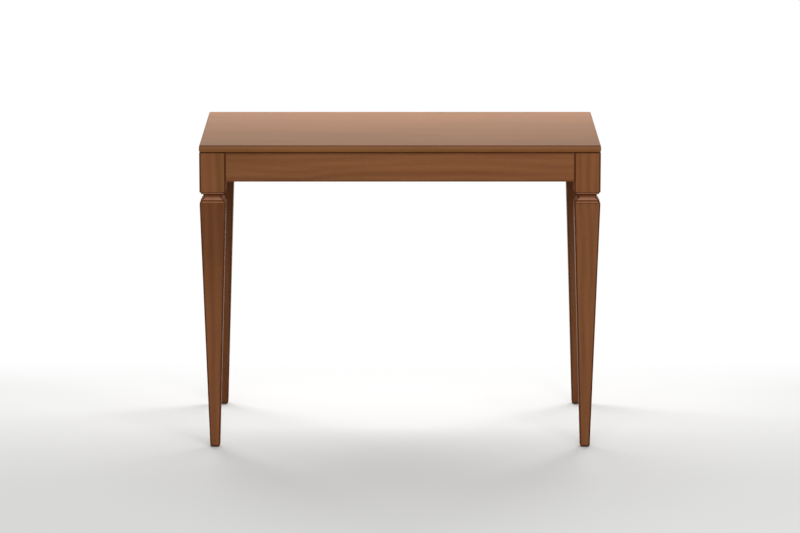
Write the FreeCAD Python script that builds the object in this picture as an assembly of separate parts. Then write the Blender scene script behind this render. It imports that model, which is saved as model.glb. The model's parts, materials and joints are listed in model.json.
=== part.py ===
import FreeCAD, Part
import math
import os

from FreeCAD import Vector

# Extending console table. Millimetres, +Z up, front towards -Y.
# The origin is on the floor under the middle of the closed table.

# Closed table
table_width = 1000.0
table_depth = 550.0
table_height = 775.0

# Top panel
top_thickness = 18.0
top_edge_radius = 3.0
top_overhang = 1.0
shadow_gap = 2.0

# Legs: square block, moulded collar, straight taper, chamfered foot.
# A collar point is a share of its depth and a share of its height, counted down from the block.
leg_width = 65.0
leg_arris_radius = 1.5
leg_block_height = 98.0
collar_height = 29.5
collar_depth = 10.0
upper_lip_shares = ((0.0, 0.0), (0.26, 0.05), (0.30, 0.14), (0.40, 0.17))
cove_belly_shares = (1.0, 0.41)
lower_lip_shares = ((0.42, 0.66), (0.34, 0.77), (0.10, 0.92), (0.0, 1.0))
foot_width = 25.0
foot_chamfer_width = 3.5
foot_chamfer_height = 3.5

# Nail-in glide under each foot
foot_glide_margin = 1.0
foot_glide_height = 2.0
nail_radius = 1.5
nail_length = 18.0

# Aprons, set back from the leg faces
apron_height = 72.0
apron_thickness = 20.0
apron_setback = 2.0
apron_edge_radius = 1.5
closing_gap = 0.5

# Bearers under the top, beside the legs, that carry the slides
bearer_thickness = 20.0
bearer_height = 42.0
bearer_clearance = 2.0
bearer_end_gap = 4.0

# Spacer blocks between the side aprons and the bearers
spacer_length = 45.0
spacer_end_gap = 14.0
spacer_bolt_share = 0.65
spacer_screw_share = 0.25

# Corner blocks between the front or rear apron and the legs
corner_block_width = 40.0
corner_block_depth = 34.0
corner_block_lift = 1.0
corner_block_gap = 7.0
corner_bolt_share = 0.70
corner_screw_height_share = 0.25
corner_screw_shares = (0.25, 0.75)

# Slide bars: bar 1 is fixed to the bearer, the last one to the front apron.
# Each bar has a T slot on its inner side and a T rib on its outer side, which runs in the bar before it.
bar_count = 5
bar_gap = 2.0
bar_front_gap = 2.0
bar_rear_gap = 17.0
bar_flange_height = 11.1
rib_neck_height = 7.0
rib_head_overhang = 3.5
rib_head_thickness = 3.2
slot_lip_thickness = 2.5
slot_web_thickness = 4.5
neck_clearance = 1.0
chamber_wall = 2.5
chamber_side_wall = 3.0

# Nylon glides: a guide in the front end of each slot, a shoe on the rear end of each rib
glide_wall = 1.6
running_clearance = 0.3
glide_length = 40.0

# Stop pins: set in the slot's web between guide and shoe, running in a groove along the rib
stop_space = 30.0
stop_pin_radius = 2.0
stop_pin_floor = 0.5
stop_pin_reach = 1.5
groove_clearance = 0.5

# Cross ties under the loose stages
tie_width = 30.0
tie_thickness = 5.0
tie_gap = 1.0
tie_spacing = 6.0
tie_front_gap = 10.0
tie_screw_edge = 7.0
tie_screw_radius = 2.0
tie_screw_head_radius = 4.0
tie_screw_head_height = 2.5
tie_screw_bite = 4.0

# Angle brackets from the last bars to the front apron
bracket_thickness = 3.0
bracket_length = 50.0
bracket_reach = 43.0
bracket_height = 26.0
bracket_screw_shares = (0.35, 0.80)
bracket_screw_radius = 2.5
bracket_screw_head_radius = 4.5
bracket_screw_head_height = 2.8
bracket_screw_bite = 9.0

# Leg bolts and flange nuts
bolt_radius = 4.0
bolt_cover = 25.0
bolt_tail = 4.0
nut_height = 8.0
nut_wall = 2.5
nut_flange_reach = 4.5
nut_flange_height = 2.0

# Dowels and countersunk wood screws
dowel_radius = 4.0
dowel_length = 50.0
dowel_height_shares = (0.25, 0.75)
wood_screw_radius = 2.0
wood_screw_head_radius = 4.0
wood_screw_head_height = 2.2
screw_tip_cover = 6.0
top_screw_shares = (0.08, 0.50, 0.84)
bar_screw_shares = (0.22, 0.45, 0.70, 0.93)

# Fits and cuts
fit_clearance = 0.1
overrun = 1.0

# Sides of the table and ends of its depth
left, right = -1, 1
front, rear = -1, 1
sides = {"left": left, "right": right}
ends = {"front": front, "rear": rear}

# Places worked out from the sizes. Those ending in _x or _y are distances from the centre planes.
top_under = table_height - top_thickness
frame_top = top_under - shadow_gap
leg_face_x = table_width / 2 - top_overhang
leg_face_y = table_depth / 2 - top_overhang
leg_inner_x = leg_face_x - leg_width
leg_inner_y = leg_face_y - leg_width
leg_middle_x = leg_face_x - leg_width / 2
leg_middle_y = leg_face_y - leg_width / 2
block_bottom = frame_top - leg_block_height
apron_bottom = frame_top - apron_height
apron_outer_x = leg_face_x - apron_setback
apron_inner_x = apron_outer_x - apron_thickness
apron_outer_y = leg_face_y - apron_setback
apron_inner_y = apron_outer_y - apron_thickness
apron_middle_x = apron_outer_x - apron_thickness / 2
apron_middle_y = apron_outer_y - apron_thickness / 2
bearer_outer_x = leg_inner_x - bearer_clearance
bearer_inner_x = bearer_outer_x - bearer_thickness
bearer_bottom = top_under - bearer_height
bearer_front = bearer_end_gap - apron_inner_y
spacer_width = apron_inner_x - bearer_outer_x
foot_flat_width = foot_width - 2 * foot_chamfer_width
bolt_bite = leg_width - bolt_cover

glide_space = glide_wall + running_clearance
neck_half = rib_neck_height / 2
head_half = neck_half + rib_head_overhang
mouth_half = neck_half + neck_clearance
cavity_half = head_half + glide_space
cavity_depth = rib_head_thickness + 2 * glide_space
cavity_end = slot_web_thickness + cavity_depth
bar_thickness = cavity_end + slot_lip_thickness
bar_half = cavity_half + bar_flange_height
bar_pitch = bar_thickness + bar_gap
neck_length = bar_gap + slot_lip_thickness + glide_space
rib_reach = neck_length + rib_head_thickness
bar_middle = frame_top - bar_half
bar_bottom = bar_middle - bar_half
bar_front = bar_front_gap - apron_inner_y
bar_rear = apron_inner_y - bar_rear_gap
bar_length = bar_rear - bar_front

# A bar pulled right out keeps a shoe, the space of the stop pin and a guide inside the bar before it
stroke = bar_length - 2 * glide_length - stop_space
stop_pin_place = glide_length + stop_space / 2
groove_half = stop_pin_radius + groove_clearance
groove_depth = stop_pin_reach + groove_clearance
groove_length = stroke + stop_pin_place + groove_half

corner_block_bottom = apron_bottom + corner_block_lift
corner_block_top = min(bar_bottom, bearer_bottom) - corner_block_gap
corner_block_height = corner_block_top - corner_block_bottom
tie_top = bar_bottom - tie_gap
tie_bottom = tie_top - tie_thickness


def slab(side, inner, outer, low_y, high_y, bottom, top):
    """A box between two distances from the centre plane on one side of the table."""
    low_x = min(side * inner, side * outer)
    return Part.makeBox(outer - inner, high_y - low_y, top - bottom, Vector(low_x, low_y, bottom))


def facing(end, near, far):
    """The low and high Y of a piece between two distances from the middle of the depth."""
    return sorted((end * near, end * far))


def drill(piece, holes):
    """Cut the holes out of the piece."""
    return piece.cut(holes)


def ease_long_edges(piece, length, radius):
    """Round the edges of a board that run along its length."""
    edges = [edge for edge in piece.Edges if abs(edge.Length - length) < fit_clearance]
    return piece.makeFillet(radius, edges)


# Fasteners: each place is a start point, a direction and a length

def rod(place, radius, growth=0.0):
    """A round bar along a place, or the hole for it when it is grown by a clearance."""
    start, way, length = place
    return Part.makeCylinder(radius + growth, length + 2 * growth, start - way * growth, way)


def wood_screw(place, growth=0.0):
    """A countersunk screw with its head flush at the start of the place, or the hole for it."""
    start, way, length = place
    head = Part.makeCone(wood_screw_head_radius + growth, wood_screw_radius + growth,
                         wood_screw_head_height + growth, start, way)
    shank = Part.makeCylinder(wood_screw_radius + growth, length + growth, start, way)
    return head.fuse(shank).removeSplitter()


def pan_screw(place, radius, head_radius, head_height):
    """A screw whose flat head stands on the face at the start of the place."""
    start, way, length = place
    head = Part.makeCylinder(head_radius, head_height, start - way * head_height, way)
    shank = Part.makeCylinder(radius, length, start, way)
    return head.fuse(shank).removeSplitter()


def corner_bolt(side, end):
    """Bolt through a corner block into the inner face of the leg."""
    height = corner_block_bottom + corner_block_height * corner_bolt_share
    middle_y = end * (apron_inner_y - corner_block_depth / 2)
    start = Vector(side * (leg_inner_x - corner_block_width), middle_y, height)
    return start, Vector(side, 0, 0), corner_block_width + bolt_bite


def spacer_bolt(side):
    """Bolt through the rear spacer block into the front face of the rear leg."""
    bolt_x = bearer_outer_x + spacer_width * spacer_bolt_share
    start = Vector(side * bolt_x, leg_inner_y - spacer_length, top_under - bearer_height / 2)
    return start, Vector(0, 1, 0), spacer_length + bolt_bite


def leg_bolts(end):
    """All bolts of the front or rear legs."""
    bolts = [corner_bolt(side, end) for side in sides.values()]
    if end == rear:
        bolts += [spacer_bolt(side) for side in sides.values()]
    return bolts


def bolt_stud(place):
    """The bolt itself, which passes through its nut."""
    start, way, length = place
    tail = nut_height + bolt_tail
    return rod((start - way * tail, way, length + tail), bolt_radius)


def flange_nut(place):
    """A hexagon nut with a round flange against the face that the bolt starts from."""
    start, way, length = place
    corner = (bolt_radius + nut_wall) * 2 / math.sqrt(3)
    points = [Vector(corner * math.cos(turn * math.pi / 3), corner * math.sin(turn * math.pi / 3), 0)
              for turn in range(7)]
    hexagon = Part.Face(Part.makePolygon(points)).extrude(Vector(0, 0, nut_height))
    flange = Part.makeCylinder(bolt_radius + nut_flange_reach, nut_flange_height)
    bore = Part.makeCylinder(bolt_radius + fit_clearance, nut_height)
    nut = hexagon.fuse(flange).cut(bore)
    nut.Placement = FreeCAD.Placement(start, FreeCAD.Rotation(Vector(0, 0, 1), -way))
    return nut


def dowels(end):
    """Dowel places between the aprons of one end and its legs."""
    places = []
    for share in dowel_height_shares:
        height = apron_bottom + apron_height * share
        for side in sides.values():
            start = Vector(side * (leg_inner_x - dowel_length / 2), end * apron_middle_y, height)
            places.append((start, Vector(side, 0, 0), dowel_length))
            if end == rear:
                start = Vector(side * apron_middle_x, leg_inner_y - dowel_length / 2, height)
                places.append((start, Vector(0, 1, 0), dowel_length))
    return places


def block_screws(end):
    """Screws through the corner blocks of one end into its apron."""
    height = corner_block_bottom + corner_block_height * corner_screw_height_share
    face_y = end * (apron_inner_y - corner_block_depth)
    return [(Vector(side * (leg_inner_x - corner_block_width * share), face_y, height),
             Vector(0, end, 0), corner_block_depth + apron_thickness - screw_tip_cover)
            for side in sides.values() for share in corner_screw_shares]


def spacer_span(end):
    """Low and high Y of a spacer block: against the rear leg, or back from the side apron's front end."""
    if end == rear:
        return leg_inner_y - spacer_length, leg_inner_y
    start = spacer_end_gap - leg_inner_y
    return start, start + spacer_length


def top_screws():
    """Screws up through the bearers and the spacer blocks into the top."""
    length = bearer_height + top_thickness - screw_tip_cover
    bearer_middle_x = bearer_inner_x + bearer_thickness / 2
    spacer_screw_x = bearer_outer_x + spacer_width * spacer_screw_share
    places = []
    for side in sides.values():
        for share in top_screw_shares:
            along = bearer_front + (apron_inner_y - bearer_front) * share
            places.append((side * bearer_middle_x, along))
        for end in ends.values():
            places.append((side * spacer_screw_x, sum(spacer_span(end)) / 2))
    return [(Vector(x, y, bearer_bottom), Vector(0, 0, 1), length) for x, y in places]


def bar_screws():
    """Screws from the slot of the first bars into the bearers."""
    return [(Vector(side * (bearer_inner_x - slot_web_thickness), bar_front + bar_length * share, bar_middle),
             Vector(side, 0, 0), slot_web_thickness + bearer_thickness - screw_tip_cover)
            for side in sides.values() for share in bar_screw_shares]


def nails(end):
    """Nails of the foot glides, up into the legs."""
    return [(Vector(side * leg_middle_x, end * leg_middle_y, foot_glide_height), Vector(0, 0, 1), nail_length)
            for side in sides.values()]


def tie_screws(stage):
    """Screws up through the ends of a cross tie into its two bars."""
    bar_middle_x = bar_outer_x(stage) - bar_thickness / 2
    spread = tie_width / 2 - tie_screw_edge
    return [(Vector(side * bar_middle_x, tie_middle(stage) + end * spread, tie_bottom),
             Vector(0, 0, 1), tie_thickness + tie_gap + tie_screw_bite)
            for side in sides.values() for end in ends.values()]


def bracket_screws():
    """Screws through the angle brackets, two into each last bar and two into the apron beside it."""
    face_x = bar_outer_x(bar_count) - bar_thickness
    plate_x = face_x - bracket_thickness
    plate_y = bracket_thickness - apron_inner_y
    length = bracket_thickness + bracket_screw_bite
    places = []
    for side in sides.values():
        for share in bracket_screw_shares:
            on_bar = Vector(side * plate_x, bracket_length * share - apron_inner_y, bar_middle)
            on_apron = Vector(side * (face_x - bracket_reach * share), plate_y, bar_middle)
            places.append((on_bar, Vector(side, 0, 0), length))
            places.append((on_apron, Vector(0, -1, 0), length))
    return places


# Wooden pieces

def make_top():
    """The unbroken top with all its edges rounded."""
    board = slab(right, -table_width / 2, table_width / 2, -table_depth / 2, table_depth / 2,
                 top_under, table_height)
    board = board.makeFillet(top_edge_radius, board.Edges)
    return drill(board, [wood_screw(place, fit_clearance) for place in top_screws()])


def leg_half_outline():
    """Edges of one side of the leg's outline, from the foot up to the top, as distances from its axis."""
    def collar_point(shares):
        return Vector(leg_width / 2 - collar_depth * shares[0], 0, block_bottom - collar_height * shares[1])

    foot = [Vector(foot_flat_width / 2, 0, foot_glide_height),
            Vector(foot_width / 2, 0, foot_glide_height + foot_chamfer_height)]
    lower = [collar_point(shares) for shares in reversed(lower_lip_shares)]
    upper = [collar_point(shares) for shares in reversed(upper_lip_shares)]
    cove = Part.Arc(lower[-1], collar_point(cove_belly_shares), upper[0])
    head = [Vector(leg_width / 2, 0, frame_top)]
    return (Part.makePolygon(foot + lower).Edges + [cove.toShape()] + Part.makePolygon(upper + head).Edges)


def make_leg_blank():
    """A leg about the Z axis: its outline seen from the front, crossed with the same outline from the side."""
    half = Part.Compound(leg_half_outline())
    other = half.mirror(Vector(0, 0, 0), Vector(1, 0, 0))
    caps = [Part.makeLine(Vector(-width / 2, 0, height), Vector(width / 2, 0, height))
            for width, height in ((foot_flat_width, foot_glide_height), (leg_width, frame_top))]
    wire = Part.Wire(Part.__sortEdges__(half.Edges + other.Edges + caps))
    face = Part.Face(wire)
    face.translate(Vector(0, -leg_width / 2, 0))
    across = face.extrude(Vector(0, leg_width, 0))
    along = across.copy()
    along.rotate(Vector(0, 0, 0), Vector(0, 0, 1), 90)
    column = Part.makeBox(leg_width, leg_width, frame_top, Vector(-leg_width / 2, -leg_width / 2, 0))
    column = ease_long_edges(column, frame_top, leg_arris_radius)
    return across.common(along).common(column)


def make_leg(blank, side, end):
    """The blank stood at its corner, with the holes for its dowels, bolts and nail."""
    leg = blank.copy()
    leg.translate(Vector(side * leg_middle_x, end * leg_middle_y, 0))
    holes = [rod(place, dowel_radius, fit_clearance) for place in dowels(end)]
    holes += [rod(place, bolt_radius, fit_clearance) for place in leg_bolts(end)]
    holes += [rod(place, nail_radius, fit_clearance) for place in nails(end)]
    return drill(leg, holes)


def make_end_apron(end):
    """The front or rear apron, between the legs of its end."""
    low_y, high_y = facing(end, apron_inner_y, apron_outer_y)
    board = slab(right, -leg_inner_x, leg_inner_x, low_y, high_y, apron_bottom, frame_top)
    board = ease_long_edges(board, 2 * leg_inner_x, apron_edge_radius)
    holes = [rod(place, dowel_radius, fit_clearance) for place in dowels(end)]
    holes += [wood_screw(place, fit_clearance) for place in block_screws(end)]
    if end == front:
        holes += [rod(place, bracket_screw_radius, fit_clearance) for place in bracket_screws()]
    return drill(board, holes)


def make_side_apron(side):
    """A side apron, from the rear leg to just behind the front leg."""
    low_y = closing_gap - leg_inner_y
    board = slab(side, apron_inner_x, apron_outer_x, low_y, leg_inner_y, apron_bottom, frame_top)
    board = ease_long_edges(board, leg_inner_y - low_y, apron_edge_radius)
    return drill(board, [rod(place, dowel_radius, fit_clearance) for place in dowels(rear)])


def make_bearer(side):
    """The batten under the top that one set of slides hangs on."""
    batten = slab(side, bearer_inner_x, bearer_outer_x, bearer_front, apron_inner_y, bearer_bottom, top_under)
    return drill(batten, [wood_screw(place, fit_clearance) for place in top_screws() + bar_screws()])


def make_spacer_block(side, end):
    """The block that ties a side apron to the bearer and the top, and at the rear to the leg."""
    low_y, high_y = spacer_span(end)
    block = slab(side, bearer_outer_x, apron_inner_x, low_y, high_y, bearer_bottom, top_under)
    holes = [wood_screw(place, fit_clearance) for place in top_screws()]
    holes.append(rod(spacer_bolt(side), bolt_radius, fit_clearance))
    return drill(block, holes)


def make_corner_block(side, end):
    """The block in the corner between an end apron and a leg, below the slides."""
    low_y, high_y = facing(end, apron_inner_y - corner_block_depth, apron_inner_y)
    block = slab(side, leg_inner_x - corner_block_width, leg_inner_x, low_y, high_y,
                 corner_block_bottom, corner_block_top)
    holes = [rod(corner_bolt(side, end), bolt_radius, fit_clearance)]
    holes += [wood_screw(place, fit_clearance) for place in block_screws(end)]
    return drill(block, holes)


# Slides: section points are a depth inwards from the bar's outer face and a height from its middle

def bar_outer_x(stage):
    """Distance of a bar's outer face from the centre plane."""
    return bearer_inner_x - (stage - 1) * bar_pitch


def tie_middle(stage):
    """Y of the middle of a stage's cross tie: the stage next to the front has the foremost."""
    return bar_front + tie_front_gap + tie_width / 2 + (tie_width + tie_spacing) * (bar_count - 1 - stage)


def section_prism(side, stage, section, low_y, length):
    """A section of a stage's bar carried along the table's depth."""
    points = [Vector(side * (bar_outer_x(stage) - depth), low_y, bar_middle + height)
              for depth, height in section]
    return Part.Face(Part.makePolygon(points + points[:1])).extrude(Vector(0, length, 0))


def section_box(side, stage, low_depth, high_depth, low_height, high_height, low_y, length):
    """A box given in a bar's section."""
    corners = [(low_depth, low_height), (high_depth, low_height), (high_depth, high_height),
               (low_depth, high_height)]
    return section_prism(side, stage, corners, low_y, length)


def mirrored(upper):
    """Close a section that is alike above and below the bar's middle."""
    return upper + [(depth, -height) for depth, height in reversed(upper)]


def bar_section(has_rib, has_slot):
    """Outline of a bar: a box, with a T rib on the outer face and a T slot in the inner face."""
    rib = [(-rib_reach, head_half), (-neck_length, head_half), (-neck_length, neck_half), (0, neck_half)]
    slot = [(bar_thickness, mouth_half), (cavity_end, mouth_half), (cavity_end, cavity_half),
            (slot_web_thickness, cavity_half)]
    upper = (rib if has_rib else []) + [(0, bar_half), (bar_thickness, bar_half)]
    return mirrored(upper + (slot if has_slot else []))


def stop_pin(side, stage):
    """Place of the pin that stands in the web of a slotted bar."""
    tip_depth = slot_web_thickness + glide_space + stop_pin_reach
    start = Vector(side * (bar_outer_x(stage) - tip_depth), bar_front + stop_pin_place, bar_middle)
    return start, Vector(side, 0, 0), tip_depth - stop_pin_floor


def make_bar(side, stage):
    """One extruded bar with its end chambers, rib groove and screw holes."""
    has_rib = stage > 1
    has_slot = stage < bar_count
    bar = section_prism(side, stage, bar_section(has_rib, has_slot), bar_front, bar_length)
    holes = [section_box(side, stage, chamber_side_wall, bar_thickness - chamber_side_wall,
                         level * (cavity_half + chamber_wall), level * (bar_half - chamber_wall),
                         bar_front - overrun, bar_length + 2 * overrun)
             for level in (-1, 1)]
    if has_rib:
        holes.append(section_box(side, stage, -rib_reach - overrun, groove_depth - rib_reach,
                                 -groove_half, groove_half, bar_front - overrun, groove_length + overrun))
    if has_slot:
        holes.append(rod(stop_pin(side, stage), stop_pin_radius, fit_clearance))
    if has_rib and has_slot:
        holes += [rod(place, tie_screw_radius, fit_clearance) for place in tie_screws(stage)]
    if not has_rib:
        holes += [wood_screw(place, fit_clearance) for place in bar_screws()]
    if not has_slot:
        holes += [rod(place, bracket_screw_radius, fit_clearance) for place in bracket_screws()]
    return drill(bar, holes)


def make_glide(side, slot_stage, low_y, outer_inset, inner_inset):
    """A C of nylon round the rib head in a bar's slot, between two insets from the slot's walls."""
    outer_half = cavity_half - outer_inset
    inner_half = cavity_half - inner_inset
    upper = [(slot_web_thickness + outer_inset, outer_half), (cavity_end - outer_inset, outer_half),
             (cavity_end - outer_inset, mouth_half), (cavity_end - inner_inset, mouth_half),
             (cavity_end - inner_inset, inner_half), (slot_web_thickness + inner_inset, inner_half)]
    return section_prism(side, slot_stage, mirrored(upper), low_y, glide_length)


def make_glides(stage):
    """The glides that belong to a stage: shoes on its ribs and guides in its slots."""
    glides = []
    for side in sides.values():
        if stage > 1:
            glides.append(make_glide(side, stage - 1, bar_rear - glide_length, running_clearance, glide_space))
        if stage < bar_count:
            glides.append(make_glide(side, stage, bar_front, 0, glide_wall))
    return glides


def make_cross_tie(stage):
    """A flat bar under the left and right bars of a stage, with a raised pad at each end."""
    low_y = tie_middle(stage) - tie_width / 2
    high_y = tie_middle(stage) + tie_width / 2
    outer = bar_outer_x(stage)
    tie = slab(right, -outer, outer, low_y, high_y, tie_bottom, tie_top)
    pads = [slab(side, outer - bar_thickness, outer, low_y, high_y, tie_top, bar_bottom)
            for side in sides.values()]
    tie = tie.fuse(pads).removeSplitter()
    return drill(tie, [rod(place, tie_screw_radius, fit_clearance) for place in tie_screws(stage)])


def make_bracket(side):
    """An angle bracket on the inner face of the last bar and the back of the front apron."""
    outer = bar_outer_x(bar_count) - bar_thickness
    back = -apron_inner_y
    bottom = bar_middle - bracket_height / 2
    top = bar_middle + bracket_height / 2
    on_bar = slab(side, outer - bracket_thickness, outer, back, back + bracket_length, bottom, top)
    on_apron = slab(side, outer - bracket_reach, outer, back, back + bracket_thickness, bottom, top)
    bracket = on_bar.fuse(on_apron).removeSplitter()
    return drill(bracket, [rod(place, bracket_screw_radius, fit_clearance) for place in bracket_screws()])


def make_foot_glide(place):
    """A round glide with its nail."""
    start, way, length = place
    radius = foot_flat_width / 2 - foot_glide_margin
    disc = Part.makeCylinder(radius, foot_glide_height, start - way * foot_glide_height, way)
    return disc.fuse(rod(place, nail_radius)).removeSplitter()


def build():
    """Every piece under its name, as a list of solids."""
    pieces = {"top_panel": [make_top()]}
    blank = make_leg_blank()
    for end_name, end in ends.items():
        pieces[f"{end_name}_apron"] = [make_end_apron(end)]
        for side_name, side in sides.items():
            pieces[f"{end_name}_{side_name}_leg"] = [make_leg(blank, side, end)]
            pieces[f"{end_name}_{side_name}_corner_block"] = [make_corner_block(side, end)]
            pieces[f"{side_name}_{end_name}_spacer_block"] = [make_spacer_block(side, end)]
        pieces[f"{end_name}_dowels"] = [rod(place, dowel_radius) for place in dowels(end)]
        pieces[f"{end_name}_leg_bolts"] = [bolt_stud(place) for place in leg_bolts(end)]
        pieces[f"{end_name}_leg_nuts"] = [flange_nut(place) for place in leg_bolts(end)]
        pieces[f"{end_name}_block_screws"] = [wood_screw(place) for place in block_screws(end)]
        pieces[f"{end_name}_foot_glides"] = [make_foot_glide(place) for place in nails(end)]
    for side_name, side in sides.items():
        pieces[f"{side_name}_side_apron"] = [make_side_apron(side)]
        pieces[f"{side_name}_slide_bearer"] = [make_bearer(side)]
        pieces[f"{side_name}_slide_bracket"] = [make_bracket(side)]
        for stage in range(1, bar_count + 1):
            pieces[f"{side_name}_slide_bar_{stage}"] = [make_bar(side, stage)]
    pieces["top_screws"] = [wood_screw(place) for place in top_screws()]
    pieces["slide_bar_screws"] = [wood_screw(place) for place in bar_screws()]
    pieces["slide_bracket_screws"] = [pan_screw(place, bracket_screw_radius, bracket_screw_head_radius,
                                                bracket_screw_head_height) for place in bracket_screws()]
    for stage in range(1, bar_count + 1):
        pieces[f"nylon_glides_{stage}"] = make_glides(stage)
        if stage < bar_count:
            pieces[f"stop_pins_{stage}"] = [rod(stop_pin(side, stage), stop_pin_radius)
                                            for side in sides.values()]
    for stage in range(2, bar_count):
        pieces[f"cross_tie_{stage}"] = [make_cross_tie(stage)]
        pieces[f"tie_screws_{stage}"] = [pan_screw(place, tie_screw_radius, tie_screw_head_radius,
                                                   tie_screw_head_height) for place in tie_screws(stage)]
    return pieces


os.makedirs("parts", exist_ok=True)
for name, solids in build().items():
    shape = solids[0] if len(solids) == 1 else Part.makeCompound(solids)
    shape.exportStep(f"parts/{name}.step")
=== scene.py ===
# %% [markdown]
# # A console table that opens for dinner
# Closed, this table is a narrow console. Its front legs and front apron pull out on telescopic slides, and
# it becomes a long dining table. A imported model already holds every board, bolt and slide at its real
# place. It could be drawn again in Blender, but loading it as a fixed frame is safer: whatever is made here
# goes where the frame says.

# %% Load the frame
import json
import math

import bpy
import numpy as np
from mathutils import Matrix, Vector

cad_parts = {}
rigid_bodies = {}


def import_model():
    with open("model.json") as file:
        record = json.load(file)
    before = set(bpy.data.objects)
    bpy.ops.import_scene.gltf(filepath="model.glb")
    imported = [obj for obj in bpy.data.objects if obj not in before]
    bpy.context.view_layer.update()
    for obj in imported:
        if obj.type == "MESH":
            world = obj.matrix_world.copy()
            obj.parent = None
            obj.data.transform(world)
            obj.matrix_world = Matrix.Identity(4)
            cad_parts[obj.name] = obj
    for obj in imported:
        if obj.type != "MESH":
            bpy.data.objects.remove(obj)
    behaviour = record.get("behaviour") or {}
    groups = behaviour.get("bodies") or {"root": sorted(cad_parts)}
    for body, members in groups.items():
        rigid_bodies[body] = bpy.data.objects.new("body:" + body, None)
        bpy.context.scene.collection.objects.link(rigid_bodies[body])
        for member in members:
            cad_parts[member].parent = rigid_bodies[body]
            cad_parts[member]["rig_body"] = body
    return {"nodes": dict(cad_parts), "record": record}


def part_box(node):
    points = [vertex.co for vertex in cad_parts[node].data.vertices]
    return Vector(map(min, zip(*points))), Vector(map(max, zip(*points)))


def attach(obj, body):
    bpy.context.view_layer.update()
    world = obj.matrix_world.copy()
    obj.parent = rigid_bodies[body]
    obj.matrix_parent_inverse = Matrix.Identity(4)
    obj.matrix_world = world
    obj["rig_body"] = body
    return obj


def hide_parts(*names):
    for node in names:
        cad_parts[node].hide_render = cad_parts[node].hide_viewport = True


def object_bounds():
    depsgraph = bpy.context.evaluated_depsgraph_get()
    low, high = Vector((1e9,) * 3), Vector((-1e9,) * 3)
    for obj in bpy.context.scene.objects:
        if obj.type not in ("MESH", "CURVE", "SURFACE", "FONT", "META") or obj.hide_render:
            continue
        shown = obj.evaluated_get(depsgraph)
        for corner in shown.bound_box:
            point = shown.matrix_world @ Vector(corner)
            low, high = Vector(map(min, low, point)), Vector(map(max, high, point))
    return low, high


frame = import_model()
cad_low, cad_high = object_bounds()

MM = 0.001
print("closed table:", [round(size / MM) for size in cad_high - cad_low], "mm")

# %% [markdown]
# ## Writing shaders as sums
# A finish is a small net of nodes. It could be wired by hand, one line for each link, but then the recipe
# is lost among the wires. Here one class holds an output socket, and its operators add the Math nodes, so
# that a finish reads as arithmetic: `1 - wear` or `0.3 + 0.1 * fibre`.

# %% A wire that can be added and multiplied
class Wire:
    """One output socket in a node tree. Sums and products with other wires or with numbers add Math nodes.

    A wire with no socket stands for the empty tree, and the first nodes of a finish come from it.
    """

    def __init__(self, tree, socket=None):
        self.tree = tree
        self.socket = socket

    def node(self, kind, settings=None, sockets=None, output=0):
        """A new node in this wire's tree: first its settings, then a number or a wire for each socket."""
        made = self.tree.nodes.new(kind)
        for key, value in (settings or {}).items():
            setattr(made, key, value)
        for key, value in (sockets or {}).items():
            if isinstance(value, Wire):
                self.tree.links.new(value.socket, made.inputs[key])
            else:
                made.inputs[key].default_value = value
        return Wire(self.tree, made.outputs[output]) if made.outputs else None

    def maths(self, operation, first, second):
        """A Math node on two wires or numbers."""
        return self.node("ShaderNodeMath", {"operation": operation}, {0: first, 1: second})

    def __add__(self, other):
        return self.maths("ADD", self, other)

    def __sub__(self, other):
        return self.maths("SUBTRACT", self, other)

    def __rsub__(self, other):
        return self.maths("SUBTRACT", other, self)

    def __mul__(self, other):
        return self.maths("MULTIPLY", self, other)

    __radd__ = __add__
    __rmul__ = __mul__


# %% Colours and patterns
# A Mix node has sockets for every kind of data. These are the numbers of the ones for colours.
MIX_SHARE = 0
MIX_FIRST = 6
MIX_SECOND = 7
MIX_RESULT = 2


def display(red, green, blue):
    """A screen's colour, 0 to 255, as the linear colour of shaders: ((c / 255 + 0.055) / 1.055) ** 2.4."""
    linear = ((np.array((red, green, blue)) / 255 + 0.055) / 1.055) ** 2.4
    return (*linear.tolist(), 1.0)


def stretched_noise(place, waves, detail=2.0, roughness=0.55):
    """Noise that is longer one way than the other: waves says how many fit into a metre along each axis."""
    scaled = place.node("ShaderNodeVectorMath", {"operation": "MULTIPLY"}, {0: place, 1: waves})
    return place.node("ShaderNodeTexNoise", None,
                      {"Vector": scaled, "Scale": 1.0, "Detail": detail, "Roughness": roughness})


def between(value, low, high):
    """0 below low, 1 above high, and a smooth step from one to the other."""
    return value.node("ShaderNodeMapRange", {"interpolation_type": "SMOOTHSTEP"},
                      {"Value": value, "From Min": low, "From Max": high})


def mixed(share, first, second):
    """The first colour where share is 0, and the second where it is 1."""
    sockets = {MIX_SHARE: share, MIX_FIRST: first, MIX_SECOND: second}
    return share.node("ShaderNodeMix", {"data_type": "RGBA"}, sockets, MIX_RESULT)


def shaded(colour, factor):
    """A colour made darker or lighter by a factor."""
    return factor.node("ShaderNodeVectorMath", {"operation": "SCALE"}, {0: colour, "Scale": factor})


def relief(height, depth):
    """Bumps of the given depth, in metres, where height goes from 0 to 1."""
    return height.node("ShaderNodeBump", None, {"Height": height, "Distance": depth, "Strength": 1.0})


middle_grey = display(128, 128, 128)
print("a screen's middle grey, 128 of 255, is", round(middle_grey[0], 3), "in a shader")


# %% Open and close a finish
def new_finish(name):
    """An empty material, and the wire that its nodes start from."""
    finish = bpy.data.materials.new(name)
    finish.use_nodes = True
    finish.node_tree.nodes.clear()
    return finish, Wire(finish.node_tree)


def place_on_piece(start):
    """Where each point lies in the piece's own coordinates, in metres."""
    return start.node("ShaderNodeTexCoord", None, None, "Object")


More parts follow.
